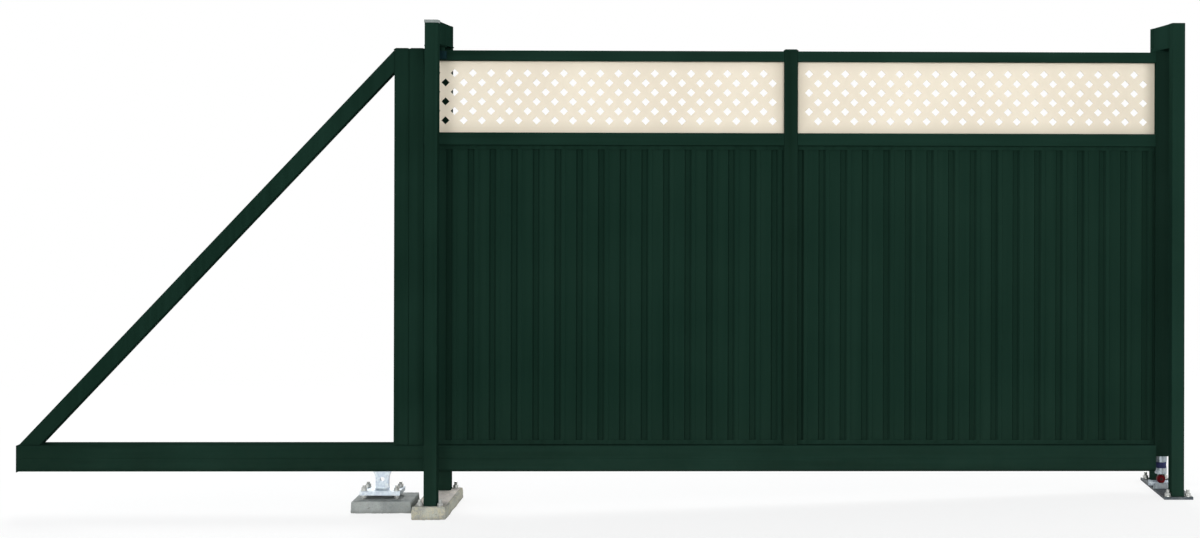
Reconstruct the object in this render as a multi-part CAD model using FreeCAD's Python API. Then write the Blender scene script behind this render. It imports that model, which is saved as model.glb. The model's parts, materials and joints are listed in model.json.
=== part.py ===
"""Sliding driveway gate: a self-supporting leaf with a braced tail, the guide portal that it slides
through, the receiving portal that it closes into, and the roller carriage that carries it.

X runs along the gate, with the closed leaf on the +X side of the guide portal. The street is at -Y.
Z is up. The origin is on the underside of the guide portal's pad, in the mid-plane of the leaf.
All sizes are in millimetres.
"""
import FreeCAD
import Part
import math
import os

from FreeCAD import Vector

# Leaf
leaf_height = 2000.0  # underside of the bottom rail to the top of the top rails
leaf_clearance = 185.0  # ground to the underside of the bottom rail
leaf_depth = 60.0  # stiles, rails and brace, front to back
leaf_wall = 3.0  # wall of the leaf's tubes
tube_radius = 4.0  # outer corners of every square tube
bay_width = 1711.0  # clear width of each bay
tail_length = 1766.0  # end of the bottom rail to the tail post
tail_post_width = 70.0
left_stile_width = 70.0
mullion_width = 66.0
right_stile_width = 70.0
brace_width = 72.0
top_rail_height = 50.0
mid_rail_height = 60.0
lattice_height = 340.0  # clear height between the top rails and the mid rails
left_stile_offset = 67.0  # middle of the guide portal to the bay side of the left stile
right_stile_foot = 70.0  # underside of the bottom rail to the foot of the right stile
cap_height = 10.0
cap_rim = 4.0
cap_overhang = 2.0
cap_bevel = 9.0

# Bottom rail, an open profile that runs on the carriage wheels
rail_width = 100.0
rail_height = 126.0
rail_wall = 5.0
rail_slot = 40.0
rail_top_radius = 8.0
rail_bottom_radius = 20.0
rail_groove_width = 9.0
rail_groove_depth = 1.5
rail_end_cap = 4.0

# Lattice panels
lattice_thickness = 8.0
lattice_columns = 19
lattice_rows = 6
lattice_side_margin = 54.0  # edge of a panel to the middle of its first hole
lattice_top_margin = 57.0
lattice_hole = 39.5  # across the corners

# Ribbed sheets and the channels that hold them
sheet_thickness = 1.2
rib_pitch = 103.4
rib_crown = 16.0
rib_step = 5.0  # width of the slope from a crown to the flat beside it
rib_step_depth = 4.0
groove_depth = 16.0  # crowns to the floors of the grooves
groove_floor = 18.0
groove_near_side = 6.0  # width of the slope between a flat and a groove
groove_far_side = 10.4  # width of the slope between a groove and the next crown
first_groove = 20.4  # edge of a bay to the end of its first groove's floor
channel_wall = 2.0
channel_height = 20.0
channel_clearance = 0.5
sheet_top_clearance = 3.0

# Portals
receiver_reach = 8.0  # middle of the receiving portal to the end of the closed leaf
post_size = 60.0
post_wall = 3.0
bridge_headroom = 21.0  # top of the leaf to the underside of a bridge
receiver_level = 90.0  # underside of the guide portal's pad to the underside of the other portal's plate
post_gap = 285.0  # between the front and the rear post
bridge_height = 107.0
post_cap_height = 3.0
post_cap_skirt = 10.5  # down the free sides of the post
post_cap_wall = 1.5
base_plate_width = 135.0
base_plate_margin = 18.0  # beyond the posts, front and rear
base_plate_thickness = 12.0
anchor_hole = 18.0
anchor_edge = 20.0  # edge of a base plate to the middle of a hole

# Concrete pads
pad_height = 45.0
carriage_pad_height = 60.0
pad_margin = 14.0  # beyond the guide portal's base plate
pad_chamfer = 5.0

# Guide rollers under the bridge of the guide portal
guide_plate_thickness = 5.0
guide_plate_length = 110.0
guide_plate_width = 170.0
guide_roller_diameter = 40.0
guide_roller_height = 40.0
guide_roller_spacing = 50.0
guide_roller_drop = 5.0  # top of the top rails to the top of the rollers
guide_pin_diameter = 16.0
guide_collar_diameter = 24.0
guide_collar_height = 3.0
rolling_gap = 0.3
pin_clearance = 0.05
edge_chamfer = 2.0

# Roller carriage
carriage_offset = 264.0  # middle of the guide portal to the middle of the carriage
carriage_pad_length = 290.0
carriage_pad_shift = 15.0  # middle of the carriage to the middle of its pad
carriage_pad_width = 210.0
carriage_plate_length = 190.0
carriage_plate_width = 120.0
carriage_plate_thickness = 20.0
carriage_plate_drop = 88.0  # underside of the bottom rail to the top of the plate
carriage_neck = 62.0
carriage_web = 20.0
carriage_flare_drop = 45.0  # underside of the bottom rail to the start of the flare
carriage_flare_radius = 74.0
carriage_flare_rise = 25.0
carriage_hole = 22.0
carriage_hole_drop = 42.0
carriage_head_margin = 16.0  # above the middle of an axle
wheel_diameter = 96.0
wheel_width = 24.0
wheel_spacing = 106.0
wheel_gap = 2.0  # between a wheel and the web
axle_diameter = 20.0
axle_end = 3.0  # past the outer face of a wheel
stud_diameter = 16.0
stud_hole = 18.0
stud_edge = 18.0
stud_depth = 45.0
stud_end = 12.0  # above the upper nut
stud_clearance = 0.3
nut_flats = 24.0
nut_height = 13.0

# End roller of the leaf and the tray that receives it
socket_diameter = 56.0
socket_neck_diameter = 50.0
socket_collar_height = 28.0
socket_neck_height = 30.0
end_roller_inset = 36.0  # bay side of the right stile to the middle of the roller
end_roller_diameter = 40.0
end_roller_width = 22.0
end_roller_side_gap = 1.0
end_roller_top_gap = 7.0  # between the socket and the roller
end_pin_diameter = 10.0
end_pin_head = 14.0
end_pin_head_height = 3.0
strap_wall = 5.0
strap_width = 22.0
tray_length = 96.0
tray_inner_width = 60.0
tray_wall = 4.0
tray_guard = 6.0  # side walls above the floor of the tray
tray_flare = 14.0

# Places worked out from the sizes above
rail_bottom = leaf_clearance
rail_top = rail_bottom + rail_height
leaf_top = rail_bottom + leaf_height
lattice_top = leaf_top - top_rail_height
lattice_bottom = lattice_top - lattice_height
mid_rail_bottom = lattice_bottom - mid_rail_height
left_bay = -left_stile_offset
mullion_left = left_bay + bay_width
right_bay = mullion_left + mullion_width
right_stile_left = right_bay + bay_width
right_stile_right = right_stile_left + right_stile_width
left_stile_left = left_bay - left_stile_width
tail_post_left = left_stile_left - tail_post_width
rail_left = tail_post_left - tail_length
guide_foot = pad_height + base_plate_thickness
receiver_foot = receiver_level + base_plate_thickness
post_top = leaf_top + bridge_headroom + bridge_height
post_middle = (post_gap + post_size) / 2
receiver_middle = right_stile_right - receiver_reach
base_plate_depth = post_gap + 2 * post_size + 2 * base_plate_margin
carriage_middle = -carriage_offset
rail_ceiling = rail_top - rail_wall
axle_height = rail_ceiling - rolling_gap - wheel_diameter / 2
end_roller_middle = right_stile_left + end_roller_inset
socket_bottom = rail_bottom + right_stile_foot - 2 * socket_collar_height - socket_neck_height
end_roller_height = socket_bottom - end_roller_top_gap - end_roller_diameter / 2
rib_flat = rib_pitch - groove_far_side - rib_crown - rib_step - groove_near_side - groove_floor
sheet_depth = groove_depth + sheet_thickness

parts = {}


def box(x0, x1, y0, y1, z0, z1):
    return Part.makeBox(x1 - x0, y1 - y0, z1 - z0, Vector(x0, y0, z0))


def centred_box(length, width, x, z0, z1):
    return box(x - length / 2, x + length / 2, -width / 2, width / 2, z0, z1)


def rounded_box(x0, x1, y0, y1, z0, z1, direction):
    """Return a bar with the rounded corners of a square tube, running along a direction."""
    bar = box(x0, x1, y0, y1, z0, z1)
    return bar.makeFillet(tube_radius, edges_along(bar, direction))


def upright_tube(x0, x1, y0, y1, z0, z1, wall, lid=0):
    outer = rounded_box(x0, x1, y0, y1, z0, z1, Vector(0, 0, 1))
    return outer.cut(box(x0 + wall, x1 - wall, y0 + wall, y1 - wall, z0, z1 - lid))


def level_tube(x0, x1, y0, y1, z0, z1, wall):
    outer = rounded_box(x0, x1, y0, y1, z0, z1, Vector(1, 0, 0))
    return outer.cut(box(x0, x1, y0 + wall, y1 - wall, z0 + wall, z1 - wall))


def cylinder(diameter, height, x, y, z, direction=Vector(0, 0, 1)):
    return Part.makeCylinder(diameter / 2, height, Vector(x, y, z), direction)


def edges_along(shape, direction):
    """Return the straight edges of a shape that run along a direction."""
    chosen = []
    for edge in shape.Edges:
        if isinstance(edge.Curve, Part.Line) and abs(edge.Curve.Direction.dot(direction)) > 0.999:
            chosen.append(edge)
    return chosen


def chamfered_pad(length, width, height, x):
    pad = centred_box(length, width, x, 0, height)
    upper = [edge for edge in pad.Edges if edge.BoundBox.ZMin > height / 2]
    return pad.makeChamfer(pad_chamfer, upper + edges_along(pad, Vector(0, 0, 1)))


def roller(diameter, height, bore, x, y, z, direction=Vector(0, 0, 1)):
    """Return a roller with broken edges, standing on the point x, y, z."""
    body = cylinder(diameter, height, x, y, z, direction)
    body = body.makeChamfer(edge_chamfer, [edge for edge in body.Edges if isinstance(edge.Curve, Part.Circle)])
    return body.cut(cylinder(bore, height, x, y, z, direction))


def hex_prism(flats, height, x, y, z):
    """Return a hexagonal nut blank with two flats facing +X and -X."""
    corner = flats / math.sqrt(3)
    turns = [math.radians(30 + 60 * side) for side in range(6)]
    ring = [Vector(x + corner * math.cos(turn), y + corner * math.sin(turn), z) for turn in turns]
    return outline_face(ring).extrude(Vector(0, 0, height))


def stile_cap(x0, x1, left_overhang=cap_overhang, right_overhang=cap_overhang):
    """Return a cap with a level rim and bevelled slopes, on a stile from x0 to x1."""
    half_depth = leaf_depth / 2 + cap_overhang
    left = x0 - left_overhang
    right = x1 + right_overhang
    rim_top = leaf_top + cap_rim
    rim = box(left, right, -half_depth, half_depth, leaf_top, rim_top)
    lower = rectangle(left, right, half_depth, rim_top)
    upper = rectangle(left + cap_bevel, right - cap_bevel, half_depth - cap_bevel, leaf_top + cap_height)
    return rim.fuse(frustum(lower, upper)).removeSplitter()


def rectangle(x0, x1, half_depth, z):
    return [
        Vector(x0, -half_depth, z),
        Vector(x1, -half_depth, z),
        Vector(x1, half_depth, z),
        Vector(x0, half_depth, z),
    ]


def outline_face(corners):
    return Part.Face(Part.makePolygon(corners + corners[:1]))


def frustum(lower, upper):
    """Return the solid with flat slopes between two level outlines of as many corners."""
    faces = [outline_face(lower), outline_face(upper)]
    for index in range(len(lower)):
        faces.append(outline_face([lower[index - 1], lower[index], upper[index], upper[index - 1]]))
    return Part.Solid(Part.Shell(faces))


def build_bottom_rail():
    half_width = rail_width / 2
    outer = box(rail_left, right_stile_left, -half_width, half_width, rail_bottom, rail_top)
    groove_middle = rail_bottom + rail_height / 2
    upper = [edge for edge in edges_along(outer, Vector(1, 0, 0)) if edge.BoundBox.ZMin > groove_middle]
    outer = outer.makeFillet(rail_top_radius, upper)
    lower = [edge for edge in edges_along(outer, Vector(1, 0, 0)) if edge.BoundBox.ZMax < groove_middle]
    outer = outer.makeFillet(rail_bottom_radius, lower)

    inner_half = half_width - rail_wall
    lip_top = rail_bottom + rail_wall
    inner = box(rail_left, right_stile_left, -inner_half, inner_half, lip_top, rail_ceiling)
    floor_edges = [edge for edge in edges_along(inner, Vector(1, 0, 0)) if edge.BoundBox.ZMax < groove_middle]
    inner = inner.makeFillet(rail_bottom_radius - rail_wall, floor_edges)
    slot = box(rail_left, right_stile_left, -rail_slot / 2, rail_slot / 2, rail_bottom, rail_ceiling)

    rail = outer.cut(inner.fuse(slot))
    for side in (-1, 1):
        corners = [
            Vector(rail_left, side * half_width, groove_middle - rail_groove_width / 2),
            Vector(rail_left, side * half_width, groove_middle + rail_groove_width / 2),
            Vector(rail_left, side * (half_width - rail_groove_depth), groove_middle),
        ]
        rail = rail.cut(outline_face(corners).extrude(Vector(right_stile_left - rail_left, 0, 0)))
    return rail


def build_tail_brace():
    """Return the sloping tube from the end of the bottom rail to the head of the tail post."""
    run = tail_post_left - rail_left
    rise = leaf_top - rail_top
    length = math.hypot(run, rise)

    def slice_between(inset, half_depth):
        """Return the part of the brace that lies an inset inside both of its long faces."""
        near = inset * length / rise
        far = (brace_width - inset) * length / rise
        drop_near = inset * length / run
        drop_far = (brace_width - inset) * length / run
        corners = [
            Vector(rail_left + near, -half_depth, rail_top),
            Vector(rail_left + far, -half_depth, rail_top),
            Vector(tail_post_left, -half_depth, leaf_top - drop_far),
            Vector(tail_post_left, -half_depth, leaf_top - drop_near),
        ]
        return outline_face(corners).extrude(Vector(0, 2 * half_depth, 0))

    outer = slice_between(0, leaf_depth / 2)
    outer = outer.makeFillet(tube_radius, edges_along(outer, Vector(run / length, 0, rise / length)))
    return outer.cut(slice_between(leaf_wall, leaf_depth / 2 - leaf_wall))


def build_lattice_panel(x0):
    """Return a panel with staggered rows of diamond holes."""
    half = lattice_thickness / 2
    column_pitch = (bay_width - 2 * lattice_side_margin) / (lattice_columns - 0.5)
    row_pitch = (lattice_height - 2 * lattice_top_margin) / (lattice_rows - 1)
    corners = [
        Vector(x0, -half, lattice_bottom),
        Vector(x0 + bay_width, -half, lattice_bottom),
        Vector(x0 + bay_width, -half, lattice_top),
        Vector(x0, -half, lattice_top),
    ]
    wires = [Part.makePolygon(corners + corners[:1])]
    for row in range(lattice_rows):
        z = lattice_top - lattice_top_margin - row * row_pitch
        stagger = (row % 2) * column_pitch / 2
        for column in range(lattice_columns):
            x = x0 + lattice_side_margin + stagger + column * column_pitch
            wires.append(diamond(x, -half, z))
    return Part.Face(wires, "Part::FaceMakerBullseye").extrude(Vector(0, lattice_thickness, 0))


def diamond(x, y, z):
    """Return the outline of one diamond hole in a plane at y."""
    reach = lattice_hole / 2
    corners = [
        Vector(x + reach, y, z),
        Vector(x, y, z + reach),
        Vector(x - reach, y, z),
        Vector(x, y, z - reach),
    ]
    return Part.makePolygon(corners + corners[:1])


def build_ribbed_sheet(x0):
    """Return a folded sheet that repeats a narrow crown, a flat set back from it and a deeper groove."""
    bottom = rail_top + channel_wall
    height = mid_rail_bottom - channel_wall - sheet_top_clearance - bottom
    crown_y = -sheet_depth / 2
    flat_y = crown_y + rib_step_depth
    groove_y = crown_y + groove_depth
    folds = (
        (groove_far_side, crown_y),
        (rib_crown, crown_y),
        (rib_step, flat_y),
        (rib_flat, flat_y),
        (groove_near_side, groove_y),
        (groove_floor, groove_y),
    )
    x = x0 + first_groove - rib_pitch
    line = [Vector(x, groove_y, bottom)]
    while x < x0 + bay_width:
        for width, y in folds:
            x += width
            line.append(Vector(x, y, bottom))
    section = Part.makePolygon(line).makeOffset2D(-sheet_thickness, join=2, fill=True, openResult=True)
    sheet = section.extrude(Vector(0, 0, height))
    return sheet.common(box(x0, x0 + bay_width, -leaf_depth, leaf_depth, bottom, bottom + height))


def build_sheet_channel(x0, opening_up):
    inner_half = sheet_depth / 2 + channel_clearance
    outer_half = inner_half + channel_wall
    if opening_up:
        z0 = rail_top
        inner_z0 = z0 + channel_wall
    else:
        z0 = mid_rail_bottom - channel_height
        inner_z0 = z0
    inner_z1 = inner_z0 + channel_height - channel_wall
    outer = box(x0, x0 + bay_width, -outer_half, outer_half, z0, z0 + channel_height)
    return outer.cut(box(x0, x0 + bay_width, -inner_half, inner_half, inner_z0, inner_z1))


def build_leaf():
    half = leaf_depth / 2
    parts["bottom_rail"] = build_bottom_rail()
    rail_half = rail_width / 2
    cap_left = rail_left - rail_end_cap
    parts["tail_end_cap"] = box(cap_left, rail_left, -rail_half, rail_half, rail_bottom, rail_top)
    parts["tail_brace"] = build_tail_brace()
    stiles = {
        "tail_post": (tail_post_left, left_stile_left, rail_top),
        "left_stile": (left_stile_left, left_bay, rail_top),
        "mullion": (mullion_left, right_bay, rail_top),
        "right_stile": (right_stile_left, right_stile_right, rail_bottom + right_stile_foot),
    }
    for name, (x0, x1, foot) in stiles.items():
        parts[name] = upright_tube(x0, x1, -half, half, foot, leaf_top, leaf_wall)
    parts["tail_post_cap"] = stile_cap(tail_post_left, left_stile_left, right_overhang=0)
    parts["left_stile_cap"] = stile_cap(left_stile_left, left_bay, left_overhang=0)
    parts["mullion_cap"] = stile_cap(mullion_left, right_bay)
    parts["right_stile_cap"] = stile_cap(right_stile_left, right_stile_right)
    for side, x0 in (("left", left_bay), ("right", right_bay)):
        x1 = x0 + bay_width
        parts["top_rail_" + side] = level_tube(x0, x1, -half, half, lattice_top, leaf_top, leaf_wall)
        parts["mid_rail_" + side] = level_tube(x0, x1, -half, half, mid_rail_bottom, lattice_bottom, leaf_wall)
        parts["lattice_panel_" + side] = build_lattice_panel(x0)
        parts["ribbed_sheet_" + side] = build_ribbed_sheet(x0)
        parts["lower_channel_" + side] = build_sheet_channel(x0, True)
        parts["upper_channel_" + side] = build_sheet_channel(x0, False)


def build_portal(side, x, foot):
    """Make a base plate, two posts on it and the bridge between their heads."""
    half = post_size / 2
    plate_bottom = foot - base_plate_thickness
    plate = centred_box(base_plate_width, base_plate_depth, x, plate_bottom, foot)
    hole_x = base_plate_width / 2 - anchor_edge
    hole_y = base_plate_depth / 2 - anchor_edge
    for sign_x in (-1, 1):
        for sign_y in (-1, 1):
            hx = x + sign_x * hole_x
            hy = sign_y * hole_y
            plate = plate.cut(cylinder(anchor_hole, base_plate_thickness, hx, hy, plate_bottom))
    parts[side + "_base_plate"] = plate
    for place, y in (("front", -post_middle), ("rear", post_middle)):
        parts[side + "_" + place + "_post"] = upright_tube(
            x - half, x + half, y - half, y + half, foot, post_top, post_wall, lid=post_wall
        )
    bridge_bottom = post_top - bridge_height
    bridge_end = post_gap / 2
    bridge = rounded_box(x - half, x + half, -bridge_end, bridge_end, bridge_bottom, post_top, Vector(0, 1, 0))
    hollow = post_size - 2 * post_wall
    parts[side + "_bridge"] = bridge.cut(
        centred_box(hollow, post_gap, x, bridge_bottom + post_wall, post_top - post_wall)
    )


def build_guide():
    """Make the plate, pins and rollers that keep the head of the leaf upright in the guide portal."""
    plate_top = post_top - bridge_height
    plate_bottom = plate_top - guide_plate_thickness
    parts["guide_plate"] = centred_box(guide_plate_length, guide_plate_width, 0, plate_bottom, plate_top)
    roller_top = leaf_top - guide_roller_drop
    roller_bottom = roller_top - guide_roller_height
    roller_y = leaf_depth / 2 + rolling_gap + guide_roller_diameter / 2
    collar_bottom = roller_bottom - rolling_gap - guide_collar_height
    bore = guide_pin_diameter + 2 * pin_clearance
    pins = []
    rollers = []
    for sign_x in (-1, 1):
        x = sign_x * guide_roller_spacing / 2
        for sign_y in (-1, 1):
            y = sign_y * roller_y
            pin = cylinder(guide_pin_diameter, plate_bottom - collar_bottom, x, y, collar_bottom)
            pin = pin.fuse(cylinder(guide_collar_diameter, guide_collar_height, x, y, collar_bottom))
            shoulder = roller_top + rolling_gap
            pin = pin.fuse(cylinder(guide_collar_diameter, plate_bottom - shoulder, x, y, shoulder))
            pins.append(pin.removeSplitter())
            rollers.append(roller(guide_roller_diameter, guide_roller_height, bore, x, y, roller_bottom))
    parts["guide_pins"] = Part.makeCompound(pins)
    parts["guide_rollers"] = Part.makeCompound(rollers)


def build_carriage():
    x = carriage_middle
    plate_top = rail_bottom - carriage_plate_drop
    plate_bottom = plate_top - carriage_plate_thickness
    stud_x = carriage_plate_length / 2 - stud_edge
    stud_y = carriage_plate_width / 2 - stud_edge
    pad_x = x + carriage_pad_shift
    pad = chamfered_pad(carriage_pad_length, carriage_pad_width, carriage_pad_height, pad_x)
    plate = centred_box(carriage_plate_length, carriage_plate_width, x, plate_bottom, plate_top)
    studs = []
    socket = stud_diameter + 2 * stud_clearance
    foot = carriage_pad_height - stud_depth
    for sign_x in (-1, 1):
        for sign_y in (-1, 1):
            sx = x + sign_x * stud_x
            sy = sign_y * stud_y
            pad = pad.cut(cylinder(socket, stud_depth, sx, sy, foot))
            plate = plate.cut(cylinder(stud_hole, carriage_plate_thickness, sx, sy, plate_bottom))
            head = plate_top + nut_height + stud_end
            stud = cylinder(stud_diameter, head - foot, sx, sy, foot)
            stud = stud.fuse(hex_prism(nut_flats, nut_height, sx, sy, plate_top))
            stud = stud.fuse(hex_prism(nut_flats, nut_height, sx, sy, plate_bottom - nut_height))
            studs.append(stud)
    parts["carriage_pad"] = pad
    parts["carriage_plate"] = plate
    parts["carriage_studs"] = Part.makeCompound(studs)
    parts["carriage_bracket"] = build_carriage_bracket(x, plate_top)

    wheel_bore = axle_diameter + 2 * pin_clearance
    wheel_y = carriage_web / 2 + wheel_gap
    axle_half = wheel_y + wheel_width + axle_end
    backward = Vector(0, 1, 0)
    wheels = []
    axles = []
    for sign in (-1, 1):
        wx = x + sign * wheel_spacing / 2
        axles.append(cylinder(axle_diameter, 2 * axle_half, wx, -axle_half, axle_height, backward))
        for y in (-wheel_y - wheel_width, wheel_y):
            wheels.append(roller(wheel_diameter, wheel_width, wheel_bore, wx, y, axle_height, backward))
    parts["carriage_axles"] = Part.makeCompound(axles)
    parts["carriage_wheels"] = Part.makeCompound(wheels)


def build_carriage_bracket(x, foot):
    """Return the upright web: a straight neck that flares into a head for the two axles."""
    half = carriage_neck / 2
    flare_start = rail_bottom - carriage_flare_drop
    flare_end = rail_bottom + carriage_flare_rise
    head_top = axle_height + carriage_head_margin

    def flare(z):
        rise = z - flare_start
        return half + carriage_flare_radius - math.sqrt(carriage_flare_radius**2 - rise**2)

    head_half = flare(flare_end)
    flare_middle = (flare_start + flare_end) / 2

    def flare_arc(side):
        points = [Vector(x + side * flare(z), 0, z) for z in (flare_start, flare_middle, flare_end)]
        return Part.Arc(*points).toShape()

    edges = [
        Part.makeLine(Vector(x - half, 0, foot), Vector(x + half, 0, foot)),
        Part.makeLine(Vector(x + half, 0, foot), Vector(x + half, 0, flare_start)),
        flare_arc(1),
        Part.makeLine(Vector(x + head_half, 0, flare_end), Vector(x + head_half, 0, head_top)),
        Part.makeLine(Vector(x + head_half, 0, head_top), Vector(x - head_half, 0, head_top)),
        Part.makeLine(Vector(x - head_half, 0, head_top), Vector(x - head_half, 0, flare_end)),
        flare_arc(-1),
        Part.makeLine(Vector(x - half, 0, flare_start), Vector(x - half, 0, foot)),
    ]
    face = Part.Face(Part.Wire(Part.__sortEdges__(edges)))
    web = face.extrude(Vector(0, carriage_web, 0))
    web.translate(Vector(0, -carriage_web / 2, 0))
    backward = Vector(0, 1, 0)
    hole_z = rail_bottom - carriage_hole_drop
    web = web.cut(cylinder(carriage_hole, carriage_web, x, -carriage_web / 2, hole_z, backward))
    bore = axle_diameter + 2 * pin_clearance
    for sign in (-1, 1):
        wx = x + sign * wheel_spacing / 2
        web = web.cut(cylinder(bore, carriage_web, wx, -carriage_web / 2, axle_height, backward))
    return web


def build_end_roller():
    """Make the socket under the right stile, the strap behind its roller, the roller and its pin."""
    x = end_roller_middle
    top = rail_bottom + right_stile_foot
    collar_bottom = top - socket_collar_height
    neck_bottom = collar_bottom - socket_neck_height
    socket = cylinder(socket_diameter, socket_collar_height, x, 0, collar_bottom)
    socket = socket.fuse(cylinder(socket_neck_diameter, socket_neck_height, x, 0, neck_bottom))
    socket = socket.fuse(cylinder(socket_diameter, socket_collar_height, x, 0, socket_bottom))
    roller_front = -end_roller_width / 2
    strap_front = end_roller_width / 2 + end_roller_side_gap
    strap_half = strap_width / 2
    backward = Vector(0, 1, 0)
    strap = box(
        x - strap_half, x + strap_half, strap_front, strap_front + strap_wall, end_roller_height, socket_bottom
    )
    eye = cylinder(strap_width, strap_wall, x, strap_front, end_roller_height, backward)
    bore = end_pin_diameter + 2 * pin_clearance
    hole = cylinder(bore, strap_wall, x, strap_front, end_roller_height, backward)
    parts["end_roller_bracket"] = socket.fuse(strap.fuse(eye)).cut(hole).removeSplitter()
    pin_front = roller_front - end_roller_side_gap
    pin_back = strap_front + strap_wall
    pin = cylinder(end_pin_diameter, pin_back - pin_front, x, pin_front, end_roller_height, backward)
    for y0 in (pin_front - end_pin_head_height, pin_back):
        pin = pin.fuse(cylinder(end_pin_head, end_pin_head_height, x, y0, end_roller_height, backward))
    parts["end_roller_pin"] = pin
    parts["end_roller"] = roller(
        end_roller_diameter, end_roller_width, bore, x, roller_front, end_roller_height, backward
    )


def build_receiver_tray():
    """Return the raised tray that the end roller rolls onto, with side walls that flare at its mouth."""
    x1 = end_roller_middle + tray_length / 2
    mouth = end_roller_middle - tray_length / 2
    throat = mouth + tray_flare
    floor_top = end_roller_height - end_roller_diameter / 2 - rolling_gap
    floor_bottom = floor_top - tray_wall
    inner_half = tray_inner_width / 2
    wall_top = floor_top + tray_guard
    tray = box(mouth, x1, -inner_half, inner_half, floor_bottom, floor_top)
    for sign in (-1, 1):
        y0 = sign * inner_half
        y1 = sign * (inner_half + tray_wall)
        corners = [
            Vector(mouth, y0 + sign * tray_flare, receiver_foot),
            Vector(throat, y0, receiver_foot),
            Vector(x1, y0, receiver_foot),
            Vector(x1, y1, receiver_foot),
            Vector(throat, y1, receiver_foot),
            Vector(mouth, y1 + sign * tray_flare, receiver_foot),
        ]
        tray = tray.fuse(outline_face(corners).extrude(Vector(0, 0, wall_top - receiver_foot)))
    return tray.removeSplitter()


def build_post_cap():
    """Return the cap on the guide portal's front post, with a skirt on the three sides free of the bridge."""
    half = post_size / 2
    outer_half = half + post_cap_wall
    back = -post_gap / 2
    front = back - post_size
    skirt_bottom = post_top - post_cap_skirt
    cap = box(-outer_half, outer_half, front - post_cap_wall, back, skirt_bottom, post_top + post_cap_height)
    return cap.cut(box(-half, half, front, back, skirt_bottom, post_top))


def build_ground_works():
    parts["left_pad"] = chamfered_pad(
        base_plate_width + 2 * pad_margin, base_plate_depth + 2 * pad_margin, pad_height, 0
    )
    parts["left_post_cap"] = build_post_cap()
    build_portal("left", 0, guide_foot)
    build_portal("right", receiver_middle, receiver_foot)
    parts["receiver_tray"] = build_receiver_tray()


build_ground_works()
build_guide()
build_carriage()
build_leaf()
build_end_roller()

os.makedirs("parts", exist_ok=True)
for name, shape in parts.items():
    shape.exportStep("parts/" + name + ".step")
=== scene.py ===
"""Finishes, fasteners, welds and setting for the sliding driveway gate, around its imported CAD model.

Lengths are in metres. X runs along the gate, -Y faces the street and Z is up, as in the CAD model.
"""

import json
import math

import bpy
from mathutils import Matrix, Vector


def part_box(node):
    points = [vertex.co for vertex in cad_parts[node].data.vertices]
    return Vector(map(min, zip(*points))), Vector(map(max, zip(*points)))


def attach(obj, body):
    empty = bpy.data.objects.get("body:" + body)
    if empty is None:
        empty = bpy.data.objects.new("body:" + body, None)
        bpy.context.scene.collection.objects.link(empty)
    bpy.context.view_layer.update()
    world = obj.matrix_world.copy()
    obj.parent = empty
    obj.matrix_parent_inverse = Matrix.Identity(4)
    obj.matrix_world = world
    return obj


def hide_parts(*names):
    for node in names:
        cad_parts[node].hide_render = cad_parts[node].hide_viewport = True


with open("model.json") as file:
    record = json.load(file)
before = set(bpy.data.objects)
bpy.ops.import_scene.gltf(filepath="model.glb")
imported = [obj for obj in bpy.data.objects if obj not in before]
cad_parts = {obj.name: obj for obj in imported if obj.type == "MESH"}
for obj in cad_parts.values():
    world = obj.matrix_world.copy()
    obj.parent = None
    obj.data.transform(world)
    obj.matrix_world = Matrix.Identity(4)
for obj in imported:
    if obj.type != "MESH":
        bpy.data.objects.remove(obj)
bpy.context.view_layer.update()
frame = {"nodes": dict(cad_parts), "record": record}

MM = 0.001
PHOTO_WIDTH = 1200
PHOTO_HEIGHT = 538

# Camera of the photograph
CAMERA_PLACE = (1.437, -7.5205, 1.7228)
CAMERA_YAW = -0.0144
CAMERA_ROLL = -0.0025
FOCAL_PIXELS = 1573.3
AXIS_PIXEL = (763.2, 148.25)  # pixel that the camera's axis passes through
SENSOR_WIDTH = 36.0

# Floor, level under the pads and higher under the receiving portal
FLOOR_REACH = 60.0
RAMP_START = 0.4
RAMP_END = 3.2
FLOOR_NEAR = 0.6  # distance from the gate up to which the floor is least white
FLOOR_FAR = 4.0  # distance from which it is plain white

# Light: sky, and lamps by name, strength, and in degrees their spread, tilt from straight down and turn
SKY_LEVEL = 0.24
SKY_SIDES = 3.9  # added towards +X and -X
LAMP_HEIGHT = 6.0
LAMPS = (
    ("left_light", 1.08, 20, 83, -11),
    ("right_light", 1.08, 20, 83, 16),
    ("back_light", 1.8, 30, -48, 8),
)

# Fasteners
STUD_DIAMETER = 16 * MM
ANCHOR_STANDS = 32 * MM  # top of an anchor above its base plate
ANCHOR_EDGE = 20 * MM  # edge of a base plate to the middle of an anchor
NUT_FLATS = 24 * MM
NUT_HEIGHT = 13 * MM
WASHER_DIAMETER = 30 * MM
WASHER_HEIGHT = 3 * MM
WASHER_CHAMFER = 0.5 * MM
THREAD_PITCH = 2 * MM
THREAD_DEPTH = 0.9 * MM
ROD_CHAMFER = 1.5 * MM
RIVET_DIAMETER = 9 * MM
RIVET_HEIGHT = 2.2 * MM
RIVET_ROUNDING = 1.3 * MM
RIVET_RIM = 1.6 * MM  # between its rounding and the pit of its mandrel
MANDREL_PIT = 0.9 * MM
RIB_PITCH = 103.4 * MM
FIRST_CROWN = 38.8 * MM  # edge of a bay to the middle of its first crown
RIVET_EVERY = 2  # crowns
TAIL_BOLT_FLATS = 19 * MM
TAIL_BOLT_HEIGHT = 8 * MM
GUIDE_BOLT_FLATS = 13 * MM
GUIDE_BOLT_HEIGHT = 5 * MM
GUIDE_BOLT_EDGE = 12 * MM
BEVEL_ANGLE = math.radians(60)
SMOOTH_ANGLE = math.radians(32)

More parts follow.
